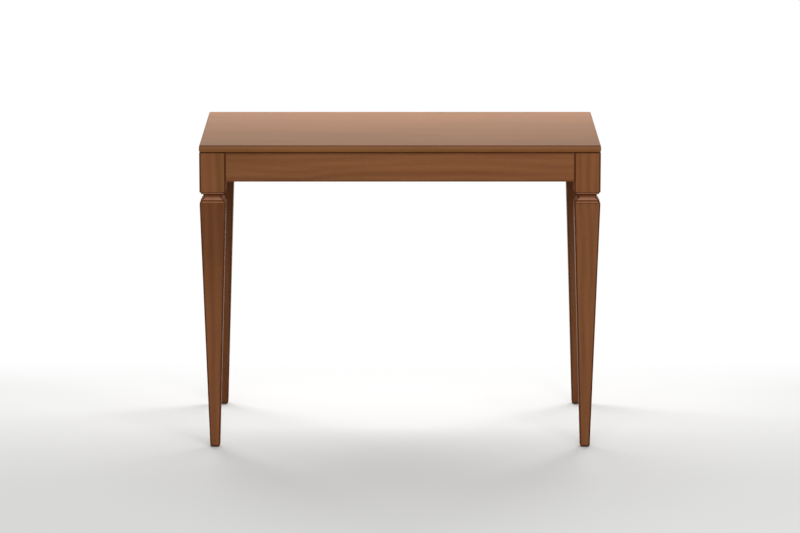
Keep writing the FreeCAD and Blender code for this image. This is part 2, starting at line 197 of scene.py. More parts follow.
def close_finish(finish, sockets):
    """Feeds the surface shader, and the shader feeds the material's output."""
    start = Wire(finish.node_tree)
    shader = start.node("ShaderNodeBsdfPrincipled", None, sockets)
    start.node("ShaderNodeOutputMaterial", None, {"Surface": shader})
    print("finish:", finish.name, "with", len(finish.node_tree.nodes), "nodes")
    return finish


# %% [markdown]
# ## Stained wood
# Top, legs and aprons are hardwood under a walnut brown stain and a satin lacquer. An image of wood could
# be wrapped round each board, but it would be cut wrongly at every corner. Wood is solid, so the pattern
# here is solid too: each piece carries its own grain coordinates (along, across and through the board), and
# the noise is drawn out along the first of them. Four marks on the mesh change the finish: painted shade
# along the arrises, painted shade in seams, in hollows and beside the gap (with a dark line on the top's
# edge), painted highlights on the collar and the top's edge, and a duller coat.

# %% The patterns in the wood
# Waves in a metre: along the grain, across it and through the board.
BOARD_WAVES = (0.9, 8.0, 8.0)
STREAK_WAVES = (2.6, 62.0, 62.0)
FIBRE_WAVES = (16.0, 620.0, 620.0)
PORE_WAVES = (70.0, 1500.0, 1500.0)
SWAY_WAVES = (1.8, 5.0, 5.0)
RUB_WAVES = (24.0, 160.0, 160.0)
# A growth ring goes from pale to dark and back, so it is two half rings wide. Sway is in half rings too.
HALF_RINGS_IN_A_METRE = 95.0
RING_SWAY = 7.0
# What each pattern adds to the tone.
BOARD_TONE = 0.34
STREAK_TONE = 0.46
FIBRE_TONE = 0.22
RING_TONE = 0.10
# The values at which a pattern starts to show and at which it shows in full.
TONE_LIMITS = (0.26, 0.88)
WARM_LIMITS = (0.42, 0.68)
PORE_LIMITS = (0.60, 0.72)
RUB_LIMITS = (0.54, 0.72)
print("growth rings:", round(2 / HALF_RINGS_IN_A_METRE / MM), "mm wide")

# %% The stain and the lacquer
# Colours of the painted highlight, and of the painted shade, which also draws the top's dark edge line.
HIGHLIGHT_COLOUR = display(178, 128, 104)
SHADE_AND_LINE_BROWN = display(74, 32, 7)
# How much of the colour a pattern or a mark takes at most.
WARM_SHARE = 0.45
PORE_SHARE = 0.18
HIGHLIGHT_SHARE = 0.8
SHADE_SHARE = 0.90
ARRIS_SHARE = 0.88
RUB_SHARE = 0.4
# The lacquer's roughness, and what the patterns and marks add to it.
LACQUER_ROUGHNESS = 0.36
FIBRE_ROUGHNESS = 0.10
STREAK_ROUGHNESS = 0.06
LINE_ROUGHNESS = 0.20
DULL_ROUGHNESS = 0.36
# Fibres stand up and pores lie deep, as shares of the relief.
FIBRE_RISE = 0.7
PORE_SINK = 0.5
WOOD_RELIEF = 0.09 * MM
print("lacquer: roughness from", LACQUER_ROUGHNESS, "upwards")


# %% The stained wood
def stained_wood(name, dark, light, warm, gloss):
    """Growth rings, long streaks, fine fibres and short pores, all drawn out along the grain.

    Their weighted sum is the tone, which leads from the dark stain to the light one. Warm bands lie over it,
    then come the painted highlights, and last the painted shade with the top's dark edge line.
    """
    finish, start = new_finish(name)
    grain = start.node("ShaderNodeAttribute", {"attribute_name": "grain"}, None, "Vector")
    arris, shade_and_edge_line, painted_highlight, dull = (start.node("ShaderNodeAttribute", {"attribute_name": mark}, None, "Fac")
                                for mark in ("arris", "shade_and_edge_line", "painted_highlight", "dull"))

    boards = stretched_noise(grain, BOARD_WAVES)
    streaks = stretched_noise(grain, STREAK_WAVES, detail=3.0)
    fibres = stretched_noise(grain, FIBRE_WAVES, detail=3.0, roughness=0.65)
    pores = between(stretched_noise(grain, PORE_WAVES, detail=1.0), *PORE_LIMITS)
    across = start.node("ShaderNodeSeparateXYZ", None, {0: grain}, "Y")
    ring_place = HALF_RINGS_IN_A_METRE * across + RING_SWAY * stretched_noise(grain, SWAY_WAVES)
    rings = start.maths("PINGPONG", ring_place, 1.0)

    tone = BOARD_TONE * boards + STREAK_TONE * streaks + FIBRE_TONE * fibres + RING_TONE * rings
    brown = mixed(between(tone, *TONE_LIMITS), dark, light)
    banded = mixed(WARM_SHARE * between(boards, *WARM_LIMITS), brown, warm)
    # Painted highlight: the pale lines on the collar and the upper half of the top's edge.
    highlighted = mixed(HIGHLIGHT_SHARE * painted_highlight, shaded(banded, 1 - PORE_SHARE * pores), HIGHLIGHT_COLOUR)
    rubbed = between(stretched_noise(grain, RUB_WAVES), *RUB_LIMITS)
    # Painted shade: the arris lines, thinner where rubbed, and the darkening in seams, hollows, beside the
    # gap and on the legs, together with the top's dark edge line.
    lined = start.maths("MAXIMUM", SHADE_SHARE * shade_and_edge_line, ARRIS_SHARE * arris * (1 - RUB_SHARE * rubbed))

    coat = LACQUER_ROUGHNESS + FIBRE_ROUGHNESS * fibres + STREAK_ROUGHNESS * streaks
    return close_finish(finish, {
        "Base Color": mixed(lined, highlighted, SHADE_AND_LINE_BROWN),
        "Roughness": coat + LINE_ROUGHNESS * lined + DULL_ROUGHNESS * dull,
        "Specular IOR Level": gloss,
        "Normal": relief(FIBRE_RISE * fibres - PORE_SINK * pores, WOOD_RELIEF),
    })


TOP_GLOSS = 0.09
FRAME_GLOSS = 0.08
top_stain = stained_wood(
    "top_stain", display(98, 60, 27), display(138, 93, 49), display(124, 75, 38), TOP_GLOSS)
frame_stain = stained_wood(
    "frame_stain", display(99, 60, 33), display(140, 93, 57), display(126, 74, 46), FRAME_GLOSS)

# %% [markdown]
# ## Boards and legs as lofts
# Every wooden piece has the same nature: a rectangle with eased corners that changes its size as it goes
# up. A cube with a Bevel modifier would do for the boards, but not for the legs with their moulded collar.
# A loft does for all: a ring of points at each level, and faces between the rings. Shading stays flat on
# the flat sides because each rounding has a second row of points close beside it.

# %% Rings
EASE_STEPS = 5
# Points on a straight run, by their distance from its ends: the first holds the shading flat, and between
# the other two the arris mark fades.
HOLD = 0.4 * MM
ARRIS_LINE = 2.0 * MM
ARRIS_BAND = 3.4 * MM
run_marks = np.array((HOLD, ARRIS_LINE, ARRIS_BAND))
quarter_turn = np.linspace(0, math.pi / 2, EASE_STEPS + 1)


def arris_fade(distance):
    """How much a place counts as arris: 1 as far as the line's width, 0 from the band's width onwards."""
    return np.clip((ARRIS_BAND - distance) / (ARRIS_BAND - ARRIS_LINE), 0, 1)


def rings_of(half_x, half_y, radius):
    """Rectangles with rounded corners, one for each level, as (levels, points, 2), and their arris shares.

    A corner is centre + radius * (cos a, sin a) over a quarter turn. The straight run after it starts where
    the quarter ends and has points at fixed distances from both of its ends.
    """
    rows, shares = [], []
    for turn in range(4):
        angle = turn * math.pi / 2
        side = np.sign((math.cos(angle + math.pi / 4), math.sin(angle + math.pi / 4)))
        centre = np.stack((side[0] * (half_x - radius), side[1] * (half_y - radius)), -1)
        spokes = np.stack((np.cos(quarter_turn + angle), np.sin(quarter_turn + angle)), -1)
        arc = centre[:, None] + radius[:, None, None] * spokes
        ahead = np.array((math.cos(angle + math.pi), math.sin(angle + math.pi)))
        length = 2 * ((half_x if turn % 2 == 0 else half_y) - radius)[:, None]
        steps = np.concatenate((run_marks + 0 * length, length - run_marks[::-1]), 1)
        rows += [arc, arc[:, -1:] + steps[..., None] * ahead]
        shares += [np.ones(len(quarter_turn)), arris_fade(run_marks), arris_fade(run_marks[::-1])]
    return np.concatenate(rows, 1), np.concatenate(shares)


print("a ring has", 4 * (len(quarter_turn) + 2 * len(run_marks)), "points")


# %% From rings to a mesh
def carry(mesh, name, kind, values):
    """Stores one number or one vector at each point of the mesh, for the finish to read."""
    layer = mesh.attributes.get(name) or mesh.attributes.new(name, kind, "POINT")
    layer.data.foreach_set("value" if kind == "FLOAT" else "vector", np.asarray(values, np.float32).ravel())


def loft(name, centre, heights, half_x, half_y, radius, marks, corner_share):
    """A closed surface through the rings, with a pole in the middle of each end.

    Point p of level n has the number n * around + p, and a face joins points p and p + 1 of two levels.
    marks holds a value for each level, and corner_share is the arris mark of the upright corners.
    """
    flat, ring_arris = rings_of(half_x, half_y, radius)
    levels, around = flat.shape[:2]
    tall = np.broadcast_to(heights[:, None, None], (levels, around, 1))
    rings = np.concatenate((flat + centre[:2], tall), 2).reshape(-1, 3)
    poles = np.array([(*centre[:2], heights[0]), (*centre[:2], heights[-1])])

    level, place = np.meshgrid(np.arange(levels - 1), np.arange(around), indexing="ij")
    here = level * around + place
    beside = level * around + (place + 1) % around
    sides = np.stack((here, beside, beside + around, here + around), -1).reshape(-1, 4)
    first = np.arange(around)
    second = (first + 1) % around
    last_ring = (levels - 1) * around
    lower_fan = np.stack((np.full(around, len(rings)), second, first), -1)
    upper_fan = np.stack((np.full(around, len(rings) + 1), last_ring + first, last_ring + second), -1)

    mesh = bpy.data.meshes.new(name)
    faces = sides.tolist() + lower_fan.tolist() + upper_fan.tolist()
    mesh.from_pydata(np.concatenate((rings, poles)), [], faces)
    mesh.shade_smooth()
    spread = {mark: np.broadcast_to(values[:, None], (levels, around)) for mark, values in marks.items()}
    spread["arris"] = np.maximum(spread["arris"], corner_share * ring_arris[None])
    unmarked_poles = (0, 0)
    for mark, values in spread.items():
        carry(mesh, mark, "FLOAT", np.append(values, unmarked_poles))
    piece = bpy.data.objects.new(name, mesh)
    bpy.context.scene.collection.objects.link(piece)
    return piece


# %% From a mesh to a piece of wood
def places_of(piece):
    """The places of all points of a piece, as (points, 3)."""
    places = np.empty(3 * len(piece.data.vertices), np.float32)
    piece.data.vertices.foreach_get("co", places)
    return places.reshape(-1, 3)


def cut_from_log(piece, finish, grain_order, log_place):
    """Gives the piece its finish and its grain coordinates: its own x, y and z in another order, and moved.

    grain_order picks which of x, y and z runs along, across and through the wood. log_place is where in the
    log the piece was cut, so that no two boards share a pattern.
    """
    carry(piece.data, "grain", "FLOAT_VECTOR", places_of(piece)[:, grain_order] + np.array(log_place))
    piece.data.materials.append(finish)


def stands_for(piece, node):
    """The piece takes the node's place: the node is hidden, and the piece rides on the same body."""
    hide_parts(node)
    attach(piece, frame["nodes"][node]["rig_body"])
    print(piece.name, "stands for", node, "with", len(piece.data.polygons), "faces")


# %% [markdown]
# ## The top
# The top is one unbroken board, 18 mm thick. Its arrises are eased only a little, its edge is slightly
# crowned, and a dark line runs along the edge under the upper arris. The upper half of the edge gets a
# painted highlight. It could be a plain slab with a painted line, but the edge is what the eye meets first,
# so crown and easing are real geometry. Below it, a narrow dark gap keeps the frame apart from the top so
# that the front can slide out, and painted shade darkens both sides of the gap.

# %% The levels of a board
def from_middle(heights, low, high):
    """-1 at the underside, 0 halfway up and 1 at the upper face."""
    return 2 * (heights - low) / (high - low) - 1


def slab_levels(low, high, ease, crown):
    """Heights, insets and arris shares of a board from its underside up: a quarter circle at each edge.

    Its sides are crowned: inset + crown * t^2, with t from -1 at the underside to 1 at the upper face.
    """
    rise = ease * (1 - np.cos(quarter_turn))
    inset = ease * (1 - np.sin(quarter_turn))
    face = np.array((ARRIS_BAND, HOLD))
    up = np.concatenate((0 * face, rise, ease + run_marks))
    inward = np.concatenate((ease + face, inset, 0 * run_marks))
    share = np.concatenate((arris_fade(face), np.ones(len(quarter_turn)), arris_fade(run_marks)))
    heights = np.concatenate((low + up, high - up[::-1]))
    bulge = crown * from_middle(heights, low, high) ** 2
    return heights, np.concatenate((inward, inward[::-1])) + bulge, np.concatenate((share, share[::-1]))


# %% A board in its node's box
# The dark line under the top's upper arris, and the width and strength of the painted shade beside the gap.
EDGE_LINE_WIDTH = 3.8 * MM
GAP_SHADE_WIDTH = 3.0 * MM
GAP_SHADE = 0.15
FADE_SLOPE = 1.5
# A corner's radius shrinks with the inset, at most by this share.
CORNER_SHRINK = 0.7


def held_then_fading(distance, width):
    """1 near by, then a straight fall to 0 at the width: slope * (1 - distance / width), cut at 0 and 1."""
    return np.clip(FADE_SLOPE * (1 - distance / width), 0, 1)


def near_gap(distance):
    """Painted shade beside the dark gap between top and frame."""
    return GAP_SHADE * held_then_fading(distance, GAP_SHADE_WIDTH)


def make_board(name, node, recipe, grain_order, log_place):
    """A board that fills its node's box, with eased edges and corners, and painted shade on the side of the
    gap.
    """
    low, high = (np.array(corner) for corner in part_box(node))
    heights, inset, arris = slab_levels(low[2], high[2], recipe["ease"], recipe["crown"])
    half = (high - low) / 2
    radius = recipe["corner"] - np.minimum(inset, CORNER_SHRINK * recipe["corner"])
    on_edge = inset <= recipe["ease"] + recipe["crown"]
    edge_line = recipe["edge_line"] * on_edge * (high[2] - heights < EDGE_LINE_WIDTH)
    from_gap = high[2] - heights if recipe["gap_above"] else heights - low[2]
    marks = {
        "arris": recipe["arris"] * arris,
        "shade_and_edge_line": np.maximum(edge_line, near_gap(from_gap)),
        # Painted highlight on the upper half of the board's edge.
        "painted_highlight": recipe["painted_highlight"] * on_edge * np.clip(from_middle(heights, low[2], high[2]), 0, 1),
        "dull": np.full(len(heights), recipe["dull"]),
    }
    board = loft(name, (low + high) / 2, heights, half[0] - inset, half[1] - inset, radius, marks, 0)
    cut_from_log(board, recipe["finish"], grain_order, log_place)
    stands_for(board, node)
    return board


# %% Make the top
ALONG_X = (0, 1, 2)
# On the top, the upper half of the edge gets a painted highlight, and a dark line runs under the upper arris.
top_recipe = {
    "finish": top_stain, "ease": 1.4 * MM, "crown": 2.0 * MM, "corner": 4.5 * MM,
    "arris": 0.0, "edge_line": 0.54, "painted_highlight": 0.48, "dull": 0.0, "gap_above": False,
}
top_log_place = (3.1, 0.42, 0.08)
make_board("walnut_top", "top_panel", top_recipe, ALONG_X, top_log_place)

# %% [markdown]
# ## The aprons
# Four boards on edge tie the legs together under the top. The front one goes with the pull-out frame, so it
# must ride on that body. Their ends meet the legs in a narrow seam. The seam could be cut as a groove, but it
# is hardly wider than a millimetre, so painted shade darkens it instead.

# %% Make the aprons
ALONG_Y = (1, 2, 0)
APRON_FACE = (0, 2, 1)
# The width of the painted shade in the seams at the aprons' ends.
SEAM_WIDTH = 1.4 * MM
apron_recipe = {
    "finish": frame_stain, "ease": 1.5 * MM, "crown": 0.0, "corner": 0.4 * MM,
    "arris": 0.4, "edge_line": 0.0, "painted_highlight": 0.0, "dull": 0.5, "gap_above": True,
}
# For each board: the order of its grain, the axis of its length, and its place in the log.
apron_boards = {
    "front": (APRON_FACE, 0, (5.7, 0.11, 0.30)),
    "rear": (APRON_FACE, 0, (8.2, 0.65, 0.52)),
    "left_side": (ALONG_Y, 1, (1.4, 0.93, 0.71)),
    "right_side": (ALONG_Y, 1, (6.6, 0.27, 0.95)),
}


def darken_ends(board, length_axis):
    """Adds painted shade at the board's two ends, fading to nothing at the seam's width."""
    shade_and_edge_line = np.empty(len(board.data.vertices), np.float32)
    board.data.attributes["shade_and_edge_line"].data.foreach_get("value", shade_and_edge_line)
    along = places_of(board)[:, length_axis]
    from_end = np.minimum(along - along.min(), along.max() - along)
    carry(board.data, "shade_and_edge_line", "FLOAT", np.maximum(shade_and_edge_line, held_then_fading(from_end, SEAM_WIDTH)))


for side, (grain_order, length_axis, log_place) in apron_boards.items():
    apron = make_board(f"{side}_apron_board", f"{side}_apron", apron_recipe, grain_order, log_place)
    darken_ends(apron, length_axis)

# %% [markdown]
# ## The legs
# A leg starts as a square block, is drawn in by a moulded collar (a lip, a hollow cove and a sloping lip),
# and then tapers in a straight line to a small rounded foot. Turning on a lathe would give round sections,
# so the real one is cut on four sides, and the loft follows it: one profile sets the half width at each
# height, for both directions.

# %% The leg's outline
BLOCK_HEIGHT = 98.0 * MM
COLLAR_HEIGHT = 29.5 * MM
COLLAR_DEPTH = 10.0 * MM
COVE_STEPS = 12
FOOT_HALF = 12.5 * MM
FOOT_ROUND_IN = 3.2 * MM
FOOT_ROUND_UP = 6.0 * MM
# The corners of the two lips, as shares of the collar's depth and height.
upper_lip_shares = np.array(((0.0, 0.0), (0.26, 0.05), (0.30, 0.14), (0.40, 0.17)))
lower_lip_shares = np.array(((0.42, 0.66), (0.34, 0.77), (0.10, 0.92), (0.0, 1.0)))


def leg_corners(block_half, foot_height, head_height):
    """The leg's outline from the foot up: rounded foot, lower lip, cove, upper lip and block.

    The cove is an arc between the lips: with half chord h and depth s, its radius is (h^2 + s^2) / (2 s).
    """
    block_bottom = head_height - BLOCK_HEIGHT

    def collar(shares):
        inward, down = shares.T
        return np.stack((block_half - COLLAR_DEPTH * inward, block_bottom - COLLAR_HEIGHT * down), -1)

    lower, upper = collar(lower_lip_shares[::-1]), collar(upper_lip_shares[::-1])
    half_chord = np.linalg.norm(upper[0] - lower[-1]) / 2
    mouth = (upper[0] + lower[-1]) / 2
    depth = mouth[0] - (block_half - COLLAR_DEPTH)
    bow = (half_chord ** 2 + depth ** 2) / (2 * depth)
    sweep = math.asin(half_chord / bow) * np.linspace(-1, 1, COVE_STEPS + 1)[1:-1]
    cove = np.stack((mouth[0] - depth + bow * (1 - np.cos(sweep)), mouth[1] + bow * np.sin(sweep)), -1)
    foot = np.stack((FOOT_HALF - FOOT_ROUND_IN * (1 - np.sin(quarter_turn)),
                     foot_height + FOOT_ROUND_UP * (1 - np.cos(quarter_turn))), -1)
    sole = np.array(((foot[0, 0] - ARRIS_BAND, foot_height),))
    head = np.array(((block_half, head_height - GAP_SHADE_WIDTH), (block_half, head_height),
                     (block_half - ARRIS_BAND, head_height)))
    return np.concatenate((sole, foot)), lower, cove, upper, head


leg_sizes = {"block": BLOCK_HEIGHT, "collar": COLLAR_HEIGHT, "foot": 2 * FOOT_HALF}
print("leg:", ", ".join(f"{part} {size / MM:.1f} mm" for part, size in leg_sizes.items()))

# %% The leg's profile
CURVE_POINTS = 4
# A corner's curve and the points beside it keep within these shares of the runs next to it.
CURVE_SHARE = 0.22
BAND_SHARE = 0.45
# The holding point's distance from a corner, as a multiple of the curve's.
HOLD_MULTIPLE = 1.6


def eased_profile(corners, ease):
    """Rounds each corner of a line of (half width, height) points by a small curve.

    The curve runs from a to b past the corner c: (1 - t)^2 a + 2 t (1 - t) c + t^2 b. A holding point and a
    fading point follow on each side, so that shading stays flat between the corners.
    """
    corner = corners[1:-1]
    back, ahead = corners[:-2] - corner, corners[2:] - corner
    back_length, ahead_length = (np.linalg.norm(run, axis=1, keepdims=True) for run in (back, ahead))
    back, ahead = back / back_length, ahead / ahead_length
    cut = np.minimum(ease, CURVE_SHARE * np.minimum(back_length, ahead_length))
    t = np.linspace(0, 1, CURVE_POINTS)[None, :, None]
    a, b, c = (corner + cut * back)[:, None], (corner + cut * ahead)[:, None], corner[:, None]
    curve = (1 - t) ** 2 * a + 2 * t * (1 - t) * c + t ** 2 * b
    far_back = corner + np.minimum(ARRIS_BAND, BAND_SHARE * back_length) * back
    far_ahead = corner + np.minimum(ARRIS_BAND, BAND_SHARE * ahead_length) * ahead
    lead = np.stack((far_back, corner + HOLD_MULTIPLE * cut * back), 1)
    tail = np.stack((corner + HOLD_MULTIPLE * cut * ahead, far_ahead), 1)
    rows = np.concatenate((lead, curve, tail), 1)
    return np.concatenate((corners[:1], rows.reshape(-1, 2), corners[-1:]))


def with_rings(profile, heights):
    """The same line of (half width, height) points, with more points on it at the given heights."""
    half = np.interp(heights, profile[:, 1], profile[:, 0])
    return np.insert(profile, np.searchsorted(profile[:, 1], heights), np.stack((half, heights), -1), 0)


# %% [markdown]
# ### Painted shade and highlight on the legs
# The collar shows as fine dark and pale lines: painted shade in its hollows and under its lips, and painted
# highlight on its raised faces. Ambient occlusion could darken the hollows, but it wouldn't give crisp lines,
# so a table sets them by depth below the block. Each leg also has its own painted shade: the rear legs are
# darker than the front ones, most of all under their collars, and the front left leg is darker under its
# collar. Such a slow change needs points to sit on, so the long taper gets a few more rings.

# %% Painted shade and highlight on the collar and along the legs
# Painted shade on the rounded foot, which faces down.
FOOT_SHADE = 0.9
TAPER_DULL = 0.05
DULL_END = 1.5 * COLLAR_HEIGHT
# Depth below the block in millimetres, share of painted shade, share of painted highlight.
painted_collar_lines = np.array((
    (-0.3, 0.0, 0.0),
    (0.0, 0.8, 0.0),
    (1.8, 0.8, 0.0),
    (2.2, 0.0, 0.45),
    (4.3, 0.0, 0.45),
    (4.8, 0.95, 0.0),
    (8.5, 0.75, 0.0),
    (11.5, 0.45, 0.0),
    (14.0, 0.15, 0.1),
    (16.5, 0.0, 0.6),
    (18.5, 0.0, 1.0),
    (20.2, 0.0, 1.0),
    (20.7, 0.85, 0.0),
    (22.2, 0.8, 0.0),
    (23.6, 0.2, 0.0),
    (25.0, 0.0, 0.3),
    (26.9, 0.0, 0.35),
    (27.4, 0.6, 0.0),
    (29.2, 0.5, 0.0),
    (29.9, 0.0, 0.0),
))
collar_depths, collar_shades, collar_highlights = (painted_collar_lines * (MM, 1, 1)).T
# Heights of the legs' painted shade: four up the taper, and two where the collar starts.
shade_heights = np.array((0, 350, 500, 590, 627, 628.5)) * MM
ring_heights = shade_heights[1:4]
print("collar: stain lines over", round(np.ptp(collar_depths) / MM, 1), "mm")

# %% Make the four legs
ALONG_Z = (2, 0, 1)
LEG_EASE = 0.9 * MM
LEG_EASE_SHARE = 0.12
# The share of painted shade along the legs' upright arrises.
LEG_ARRIS = 1.0
MOULDING_EASE = 0.5 * MM
# For each leg: its shares of painted shade at those heights, and its place in the log.
legs = {
    "front_left": ((0.00, 0.10, 0.45, 0.48, 0.48, 0.00), (3.4, 0.62, 3.05)),
    "front_right": ((0.06, 0.05, 0.08, 0.08, 0.05, 0.00), (7.9, 0.58, 1.47)),
    "rear_left": ((0.60, 0.40, 0.43, 0.70, 0.70, 0.50), (4.4, 0.83, 1.68)),
    "rear_right": ((0.50, 0.12, 0.50, 0.80, 0.80, 0.50), (9.6, 0.36, 1.93)),
}


def make_leg(name, node, leg_shades, log_place):
    """One leg about the middle of its node's box. Collar, foot, gap and the leg's own darkening ask for
    painted shade, and most wins.
    """
    low, high = (np.array(corner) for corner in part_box(node))
    foot, lower, cove, upper, head = leg_corners((high[0] - low[0]) / 2, low[2], high[2])
    # An eased profile keeps its two end points as they are, so foot, cove and head lend it theirs.
    taper = eased_profile(np.concatenate((foot[-2:], lower, cove[:1])), MOULDING_EASE)
    block = eased_profile(np.concatenate((cove[-1:], upper, head)), MOULDING_EASE)
    profile = np.concatenate((foot[:-2], with_rings(taper, ring_heights), cove[1:-1], block))
    half, heights = profile.T
    below_block = upper[-1, 1] - heights
    shades = (
        np.interp(below_block, collar_depths, collar_shades),
        FOOT_SHADE * held_then_fading(heights - low[2], FOOT_ROUND_UP),
        near_gap(high[2] - heights),
        np.interp(heights, shade_heights, leg_shades),
    )
    marks = {
        "arris": 0 * heights,
        "shade_and_edge_line": np.max(shades, 0),
        "painted_highlight": np.interp(below_block, collar_depths, collar_highlights),
        "dull": np.interp(below_block, (COLLAR_HEIGHT, DULL_END), (1, TAPER_DULL)),
    }
    radius = np.minimum(LEG_EASE, LEG_EASE_SHARE * half)
    leg = loft(name, (low + high) / 2, heights, half, half, radius, marks, LEG_ARRIS)
    cut_from_log(leg, frame_stain, ALONG_Z, log_place)
    stands_for(leg, node)


for corner, (leg_shades, log_place) in legs.items():
    make_leg(f"{corner}_tapered_leg", f"{corner}_leg", leg_shades, log_place)

# %% [markdown]
# ## Hidden timber and hardware
# Under the top sit bearers, blocks and dowels of plain beech. They could be modelled again, but their
# shapes come from the frame as they are, so only a finish is made for them, and the same goes for all the
# hardware. These finishes read Object coordinates. Beech has soft bands and short dark flecks, drawn out
# along the grain.

# %% Plain beech
BEECH_DARK = display(183, 140, 98)
BEECH_PALE = display(214, 176, 132)
BEECH_FLECK = display(150, 104, 66)
# Waves in a metre, along and across the grain.
BAND_WAVES = (3.0, 70.0)
BEECH_FIBRE_WAVES = (20.0, 700.0)
FLECK_WAVES = (260.0, 1300.0)
BAND_TONE = 0.6
BEECH_LIMITS = (0.34, 0.66)
FLECK_LIMITS = (0.60, 0.70)
FLECK_SHARE = 0.55
PLANED_ROUGHNESS = 0.52
BEECH_FIBRE_ROUGHNESS = 0.16
BEECH_GLOSS = 0.35
BEECH_RELIEF = 0.08 * MM


def plain_beech(name, grain_axis):
    """Pale planed beech: soft bands, and short darker flecks, drawn out along the chosen axis."""
    finish, start = new_finish(name)
    place = place_on_piece(start)

    def drawn_out(waves, detail):
        along, across = waves
        return stretched_noise(place, [along if axis == grain_axis else across for axis in "XYZ"], detail)

    bands = drawn_out(BAND_WAVES, detail=3.0)
    fibres = drawn_out(BEECH_FIBRE_WAVES, detail=2.0)
    flecks = between(drawn_out(FLECK_WAVES, detail=0.0), *FLECK_LIMITS)
    tone = BAND_TONE * bands + (1 - BAND_TONE) * fibres
    planed = mixed(between(tone, *BEECH_LIMITS), BEECH_DARK, BEECH_PALE)
    return close_finish(finish, {
        "Base Color": mixed(FLECK_SHARE * flecks, planed, BEECH_FLECK),
        "Roughness": PLANED_ROUGHNESS + BEECH_FIBRE_ROUGHNESS * fibres,
        "Specular IOR Level": BEECH_GLOSS,
        "Normal": relief(fibres, BEECH_RELIEF),
    })


beech_along_x = plain_beech("plain_beech_along_x", "X")
beech_along_y = plain_beech("plain_beech_along_y", "Y")

# %% [markdown]
# ### Metal
# Slide bars and cross ties are drawn aluminium, and screws, bolts, pins and brackets are zinc plated steel.
# An even grey would do while the table is closed, but the bars show when it is open. So the bars get the
# fine lines that the die leaves along the pull, and the zinc drifts from bluish to straw yellow.

# %% Drawn aluminium
BAR_LINE_WAVES = (1400.0, 1.2, 1400.0)
BAR_CLOUD_WAVES = (30.0, 9.0, 30.0)
BAR_LINE_TONE = 0.7
BAR_ROUGHNESS = 0.38
BAR_LINE_ROUGHNESS = 0.12
BAR_CLOUD_ROUGHNESS = 0.08
BAR_RELIEF = 0.02 * MM


def drawn_aluminium(name, dark, light):
    """Satin anodised bar: fine lines along the pull, and a little unevenness from the die."""
    finish, start = new_finish(name)
    place = place_on_piece(start)
    lines = stretched_noise(place, BAR_LINE_WAVES, detail=3.0, roughness=0.7)
    clouds = stretched_noise(place, BAR_CLOUD_WAVES)
    return close_finish(finish, {
        "Base Color": mixed(BAR_LINE_TONE * lines + (1 - BAR_LINE_TONE) * clouds, dark, light),
        "Metallic": 1.0,
        "Roughness": BAR_ROUGHNESS + BAR_LINE_ROUGHNESS * lines + BAR_CLOUD_ROUGHNESS * clouds,
        "Normal": relief(lines, BAR_RELIEF),
    })


bar_finish = drawn_aluminium("drawn_aluminium", display(150, 153, 158), display(194, 197, 200))

# %% Zinc plate
ZINC_DRIFT_WAVES = (140.0, 140.0, 140.0)
ZINC_PATCH_WAVES = (420.0, 420.0, 420.0)
ZINC_DRIFT_LIMITS = (0.35, 0.65)
ZINC_ROUGHNESS = 0.22
ZINC_PATCH_ROUGHNESS = 0.22
ZINC_RELIEF = 0.03 * MM


def zinc_plate(name, bluish, straw):
    """Bright zinc: a bluish silver that drifts to straw yellow, with dull patches."""
    finish, start = new_finish(name)
    place = place_on_piece(start)
    drift = stretched_noise(place, ZINC_DRIFT_WAVES)
    patches = stretched_noise(place, ZINC_PATCH_WAVES, detail=3.0)
    return close_finish(finish, {
        "Base Color": mixed(between(drift, *ZINC_DRIFT_LIMITS), bluish, straw),
        "Metallic": 1.0,
        "Roughness": ZINC_ROUGHNESS + ZINC_PATCH_ROUGHNESS * patches,
        "Normal": relief(patches, ZINC_RELIEF),
    })


screw_finish = zinc_plate("zinc_plate", display(190, 194, 202), display(206, 200, 182))

# %% [markdown]
# ### Plastic
# Black nylon glides keep the bars from rubbing on each other, and the legs stand on brown plastic glides.
# One recipe does for both, with two colours each: the tool leaves a fine grain, and use leaves faint
# scuffs.

# %% Moulded plastic
TOOL_GRAIN_WAVES = (1600.0, 1600.0, 1600.0)
SCUFF_WAVES = (90.0, 90.0, 260.0)
SCUFF_LIMITS = (0.52, 0.70)
TOOL_GRAIN_TONE = 0.3
SCUFF_TONE = 0.5
PLASTIC_ROUGHNESS = 0.40
TOOL_GRAIN_ROUGHNESS = 0.15
SCUFF_ROUGHNESS = 0.15
PLASTIC_RELIEF = 0.04 * MM


def moulded_plastic(name, dark, light):
    """Moulded plastic with a fine grain from the tool and faint scuffs."""
    finish, start = new_finish(name)
    place = place_on_piece(start)
    grain = stretched_noise(place, TOOL_GRAIN_WAVES, detail=1.0)
    scuffs = between(stretched_noise(place, SCUFF_WAVES, detail=4.0), *SCUFF_LIMITS)
    return close_finish(finish, {
        "Base Color": mixed(TOOL_GRAIN_TONE * grain + SCUFF_TONE * scuffs, dark, light),
        "Roughness": PLASTIC_ROUGHNESS + TOOL_GRAIN_ROUGHNESS * grain + SCUFF_ROUGHNESS * scuffs,
        "Normal": relief(grain, PLASTIC_RELIEF),
    })


glide_finish = moulded_plastic("black_nylon", display(22, 22, 24), display(52, 52, 55))
foot_finish = moulded_plastic("brown_foot_plastic", display(38, 24, 16), display(74, 50, 36))

# %% [markdown]
# ### Dressing the frame's own pieces
# Each node that still shows takes the finish of its slot in the record. It could be named node by node, but
# the record already knows. Only the bearers differ from their slot: they run front to back, and so does
# their grain.

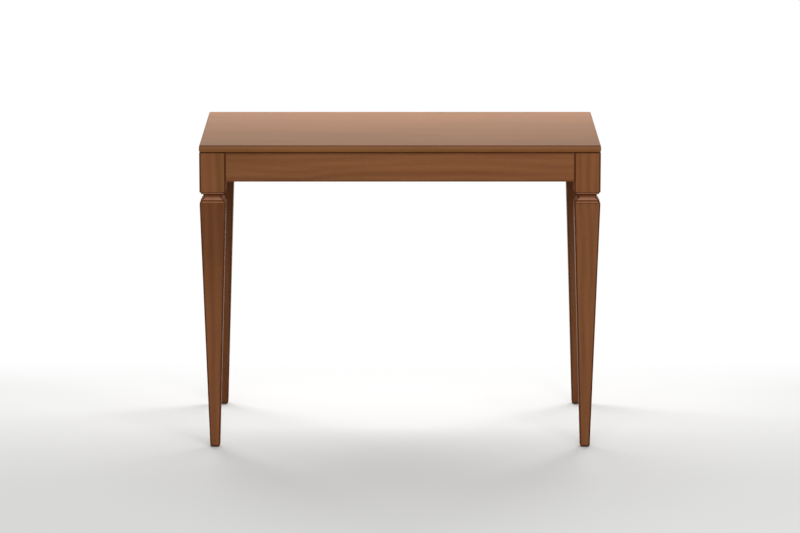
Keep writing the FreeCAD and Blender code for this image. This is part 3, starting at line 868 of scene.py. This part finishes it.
# %% Dress the carried-over nodes
finish_of_slot = {
    "aluminium": bar_finish,
    "zinc_steel": screw_finish,
    "nylon": glide_finish,
    "foot_plastic": foot_finish,
    "plain_beech": beech_along_x,
}
slot_of_node = {part["node"]: part["material_slot"] for part in frame["record"]["subparts"]}
shown_nodes = {node: piece for node, piece in frame["nodes"].items() if not piece.hide_render}
for node, piece in shown_nodes.items():
    finish = beech_along_y if node.endswith("_bearer") else finish_of_slot[slot_of_node[node]]
    piece.data.materials.clear()
    piece.data.materials.append(finish)
print("dressed", len(shown_nodes), "carried-over nodes")

# %% [markdown]
# ## Floor and surroundings
# The table stands on a plain pale floor, as in a studio. A curved backdrop could hide where the floor ends,
# but it would show its curve in other views, so a flat floor fades into white instead. A sky texture would
# tint the wood, so the world is plain: what the eye and the shiny surfaces see is white, and what lights
# the rest is weaker.

# %% The floor
WHITE = (1, 1, 1, 1)
FLOOR_GREY = display(231, 231, 230)
FLOOR_REACH = 14.0
# Where the floor turns white, in metres: behind the table, and around a point in front of it.
FADE_MIDDLE = -0.7
FADE_BEHIND = (0.24, 0.80)
FADE_AROUND = (1.0, 2.7)


def seen_directly(start):
    """1 for what the camera sees, straight or by reflection or through glass, and 0 for bounced light."""
    camera, glossy, through = (start.node("ShaderNodeLightPath", None, None, f"Is {ray} Ray")
                               for ray in ("Camera", "Glossy", "Transmission"))
    return start.maths("MAXIMUM", camera, start.maths("MAXIMUM", glossy, through))


def pale_floor(name):
    """Pale grey round the table, fading into the white surroundings behind it and far away."""
    finish, start = new_finish(name)
    place = place_on_piece(start)
    x, y = (start.node("ShaderNodeSeparateXYZ", None, {0: place}, axis) for axis in "XY")
    ahead = y - FADE_MIDDLE
    around = start.node("ShaderNodeMath", {"operation": "SQRT"}, {0: x * x + ahead * ahead})
    far = start.maths("MAXIMUM", between(y, *FADE_BEHIND), between(around, *FADE_AROUND))
    lit = start.node("ShaderNodeBsdfDiffuse", None, {"Color": FLOOR_GREY})
    white = start.node("ShaderNodeEmission", None, {"Color": WHITE, "Strength": 1.0})
    shader = start.node("ShaderNodeMixShader", None, {0: far * seen_directly(start), 1: lit, 2: white})
    start.node("ShaderNodeOutputMaterial", None, {"Surface": shader})
    return finish


floor_mesh = bpy.data.meshes.new("floor")
floor_corners = FLOOR_REACH * np.array(((-1, -1, 0), (1, -1, 0), (1, 1, 0), (-1, 1, 0)))
floor_mesh.from_pydata(floor_corners, [], [(0, 1, 2, 3)])
floor_mesh.materials.append(pale_floor("pale_floor"))
floor = bpy.data.objects.new("floor", floor_mesh)
bpy.context.scene.collection.objects.link(floor)
print("floor:", 2 * FLOOR_REACH, "m square")

# %% The world
AMBIENT = 0.45
world = bpy.data.worlds.new("soft_studio")
world.use_nodes = True
world.node_tree.nodes.clear()
sky = Wire(world.node_tree)
ambient = sky.node("ShaderNodeBackground", None, {"Color": WHITE, "Strength": AMBIENT})
white = sky.node("ShaderNodeBackground", None, {"Color": WHITE, "Strength": 1.0})
surroundings = sky.node("ShaderNodeMixShader", None, {0: seen_directly(sky), 1: ambient, 2: white})
sky.node("ShaderNodeOutputWorld", None, {"Surface": surroundings})
bpy.context.scene.world = world
print("world:", AMBIENT, "of full white as ambient light")

# %% [markdown]
# ## Lamps
# A sun lamp would give hard shadows, and here the light is soft, so all three lamps are wide areas. A large
# one in front gives legs and aprons their even brown. One behind lights the top and stays out of the
# reflections. A faint strip low behind the back edge gives the top its sheen.

# %% The lamps
# Places, aims and sizes (width, height) in metres.
lamps = {
    "front_lamp": {"place": (0.5, -3.1, 2.35), "aim": (0, 0, 0.6), "size": (2.6, 1.8),
                   "watts": 61, "in_reflections": True},
    "back_lamp": {"place": (0, 0.85, 1.45), "aim": (0, 0.1, 0.775), "size": (2.4, 0.5),
                  "watts": 28, "in_reflections": False},
    "sheen_lamp": {"place": (0, 0.36, 0.825), "aim": (0, -1, 0.825), "size": (1.3, 0.09),
                   "watts": 0.22, "in_reflections": True},
}


def soft_lamp(name, place, aim, size, watts, in_reflections):
    """A large rectangular lamp at a place, turned to face the aim."""
    lamp = bpy.data.lights.new(name, "AREA")
    lamp.shape = "RECTANGLE"
    lamp.size, lamp.size_y = size
    lamp.energy = watts
    holder = bpy.data.objects.new(name, lamp)
    bpy.context.scene.collection.objects.link(holder)
    holder.location = place
    ahead = np.array(aim) - np.array(place)
    tilt = math.atan2(math.hypot(*ahead[:2]), -ahead[2])
    holder.rotation_euler = (tilt, 0, math.atan2(-ahead[0], ahead[1]))
    holder.visible_camera = False
    holder.visible_glossy = in_reflections


for name, settings in lamps.items():
    soft_lamp(name, **settings)
print("lamps:", ", ".join(lamps))

# %% [markdown]
# ## The camera
# The view is straight on from a little above, with a long lens, so that the table top is a narrow band. A
# lens shift could keep the legs exactly upright, but a slight tilt is kinder to other views, and from this
# far the legs hardly lean.

# %% Place the camera
CAMERA_DISTANCE = 9.744
CAMERA_HEIGHT = 2.361
CAMERA_TILT = math.radians(10.989)
CAMERA_LENS = 178.9
SENSOR_WIDTH = 36.0
VIEW_REACH = 100.0
camera_data = bpy.data.cameras.new("camera")
camera_data.lens = CAMERA_LENS
camera_data.sensor_width = SENSOR_WIDTH
camera_data.clip_end = VIEW_REACH
camera = bpy.data.objects.new("camera", camera_data)
bpy.context.scene.collection.objects.link(camera)
camera.location = (0, cad_low[1] - CAMERA_DISTANCE, CAMERA_HEIGHT)
camera.rotation_euler = (math.pi / 2 - CAMERA_TILT, 0, 0)
bpy.context.scene.camera = camera
bpy.context.scene.view_settings.view_transform = "Standard"
print("camera:", CAMERA_DISTANCE, "m in front of the table, with a", CAMERA_LENS, "mm lens")
